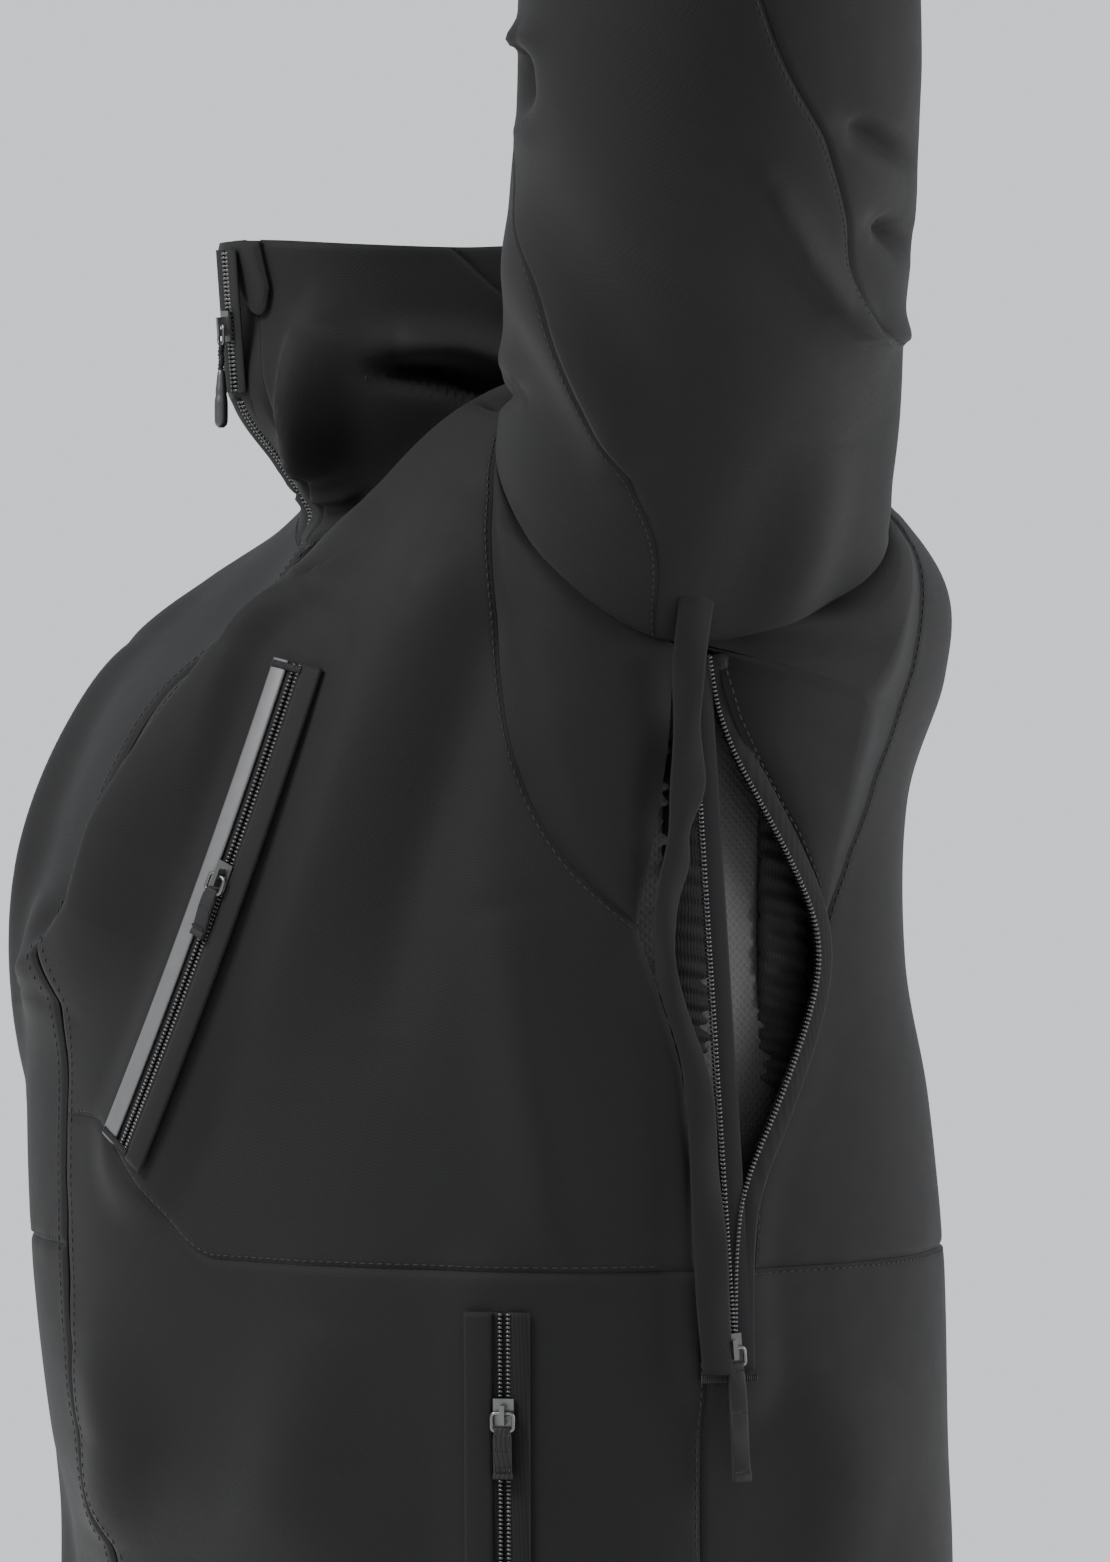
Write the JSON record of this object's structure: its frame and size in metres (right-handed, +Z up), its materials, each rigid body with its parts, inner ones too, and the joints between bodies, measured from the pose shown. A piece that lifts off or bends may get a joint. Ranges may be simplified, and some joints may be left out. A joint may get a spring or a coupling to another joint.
{
  "type": "ski jacket",
  "caption": "Softshell ski jacket in worn shape: left arm raised, high zipped collar, open left underarm vent with mesh, welted chest and hand pockets.",
  "frame": {"origin": "middle of the wearer's neck base, where the neck seam's ring is centred", "axes": "+Z up, front of the jacket towards -Y, wearer's left towards +X"},
  "size_m": [0.8546, 0.3804, 1.136],
  "materials": {
    "shell": "matte softshell weave",
    "lining": "brushed",
    "mesh": "open mesh",
    "webbing": "ribbed",
    "tape_pull": "folded tape",
    "puller_cord": "cord with moulded tip",
    "welt_grey": "bonded film",
    "cuff_tab": "satin",
    "zip_metal": "satin",
    "zip_black": "coil and tape"
  },
  "bodies": {
    "shell": {"front_upper_left": "shell", "front_lower_left": "shell", "underarm_front_left": "shell", "underarm_back_left": "shell", "front_upper_right": "shell", "front_lower_right": "shell", "underarm_front_right": "shell", "underarm_back_right": "shell", "back_upper": "shell", "back_yoke": "shell", "back_lower": "shell", "hem_facing": "shell", "sleeve_front_left": "shell", "sleeve_outer_left": "shell", "elbow_panel_left": "shell", "cuff_left": "shell", "hand_pocket_chain_left": "zip_black", "hand_pocket_welt_left": "welt_grey", "hand_pocket_bag_left": "lining", "sleeve_front_right": "shell", "sleeve_outer_right": "shell", "elbow_panel_right": "shell", "cuff_right": "shell", "hand_pocket_chain_right": "zip_black", "hand_pocket_welt_right": "welt_grey", "hand_pocket_bag_right": "lining", "collar_front_left": "shell", "collar_front_right": "shell", "collar_back": "shell", "collar_lining": "lining", "main_zip_chain": "zip_black", "storm_placket": "shell", "chin_guard": "shell", "chest_pocket_chain": "zip_black", "chest_pocket_welt": "welt_grey", "chest_pocket_bag": "lining", "pit_zip_front_left": "zip_black", "pit_zip_back_left": "zip_black", "pit_flap_left": "shell", "pit_mesh_left": "mesh", "pit_bands_left": "webbing", "pit_zip_right": "zip_black", "hang_loop": "webbing"},
    "main_zip_slider": {"main_zip_slider": "zip_metal"},
    "main_zip_puller": {"main_zip_puller": "puller_cord"},
    "chest_pocket_slider": {"chest_pocket_slider": "zip_black"},
    "chest_pocket_puller": {"chest_pocket_puller": "tape_pull"},
    "hand_pocket_left_slider": {"hand_pocket_left_slider": "zip_black"},
    "hand_pocket_left_puller": {"hand_pocket_left_puller": "tape_pull"},
    "hand_pocket_right_slider": {"hand_pocket_right_slider": "zip_black"},
    "hand_pocket_right_puller": {"hand_pocket_right_puller": "tape_pull"},
    "pit_zip_left_slider": {"pit_zip_left_slider": "zip_metal"},
    "pit_zip_left_puller": {"pit_zip_left_puller": "tape_pull"},
    "pit_zip_right_slider": {"pit_zip_right_slider": "zip_metal"},
    "pit_zip_right_puller": {"pit_zip_right_puller": "tape_pull"},
    "cuff_tab_left": {"cuff_tab_left": "cuff_tab"},
    "cuff_tab_right": {"cuff_tab_right": "cuff_tab"}
  },
  "joints": [
    {"name": "main_zip_slide", "type": "slide", "parent": "shell", "child": "main_zip_slider", "axis": [0, 0.0748, -0.9972], "range_m": [-0.0251, 0.0206]},
    {"name": "main_zip_pull", "type": "hinge", "parent": "main_zip_slider", "child": "main_zip_puller", "pos_m": [0, -0.11119, 0.04366], "axis": [-1, 0, 0], "range_deg": [0, 120]},
    {"name": "chest_pocket_slide", "type": "hinge", "parent": "shell", "child": "chest_pocket_slider", "pos_m": [-0.24436, -0.02806, -0.12091], "axis": [0.2646, 0.909, -0.322], "range_deg": [-12.17, 17.43]},
    {"name": "chest_pocket_pull", "type": "hinge", "parent": "chest_pocket_slider", "child": "chest_pocket_puller", "pos_m": [0.11892, -0.15963, -0.18288], "axis": [-0.8826, -0.3342, 0.3307], "range_deg": [0, 150]},
    {"name": "hand_pocket_left_slide", "type": "slide", "parent": "shell", "child": "hand_pocket_left_slider", "axis": [-0.0213, 0.0131, -0.9997], "range_m": [-0.0336, 0.073]},
    {"name": "hand_pocket_left_pull", "type": "hinge", "parent": "hand_pocket_left_slider", "child": "hand_pocket_left_puller", "pos_m": [0.21544, -0.07315, -0.39974], "axis": [-0.5687, -0.8225, 0.0013], "range_deg": [0, 150]},
    {"name": "hand_pocket_right_slide", "type": "slide", "parent": "shell", "child": "hand_pocket_right_slider", "axis": [0.0217, 0.0133, -0.9997], "range_m": [-0.0336, 0.073]},
    {"name": "hand_pocket_right_pull", "type": "hinge", "parent": "hand_pocket_right_slider", "child": "hand_pocket_right_puller", "pos_m": [-0.21549, -0.07317, -0.39972], "axis": [-0.5687, 0.8225, -0.0015], "range_deg": [0, 150]},
    {"name": "pit_zip_left_slide", "type": "slide", "parent": "shell", "child": "pit_zip_left_slider", "axis": [0, -0.0683, 0.9977], "range_m": [0, 0.2747]},
    {"name": "pit_zip_left_pull", "type": "hinge", "parent": "pit_zip_left_slider", "child": "pit_zip_left_puller", "pos_m": [0.2421, 0.01838, -0.37402], "axis": [0, -0.9977, -0.0683], "range_deg": [0, 150]},
    {"name": "pit_zip_right_slide", "type": "slide", "parent": "shell", "child": "pit_zip_right_slider", "axis": [0.014, -0.0001, 0.9999], "range_m": [0, 0.1352]},
    {"name": "pit_zip_right_pull", "type": "hinge", "parent": "pit_zip_right_slider", "child": "pit_zip_right_puller", "pos_m": [-0.23862, 0.00242, -0.35891], "axis": [0, 1, 0.0001], "range_deg": [0, 30]},
    {"name": "cuff_tab_left_peel", "type": "hinge", "parent": "shell", "child": "cuff_tab_left", "pos_m": [0.20972, -0.09016, 0.37999], "axis": [0.9051, 0.1665, -0.3912], "range_deg": [0, 50]},
    {"name": "cuff_tab_right_peel", "type": "hinge", "parent": "shell", "child": "cuff_tab_right", "pos_m": [-0.29192, 0.05241, -0.58486], "axis": [-0.1161, -0.0899, -0.9892], "range_deg": [0, 50]}
  ]
}
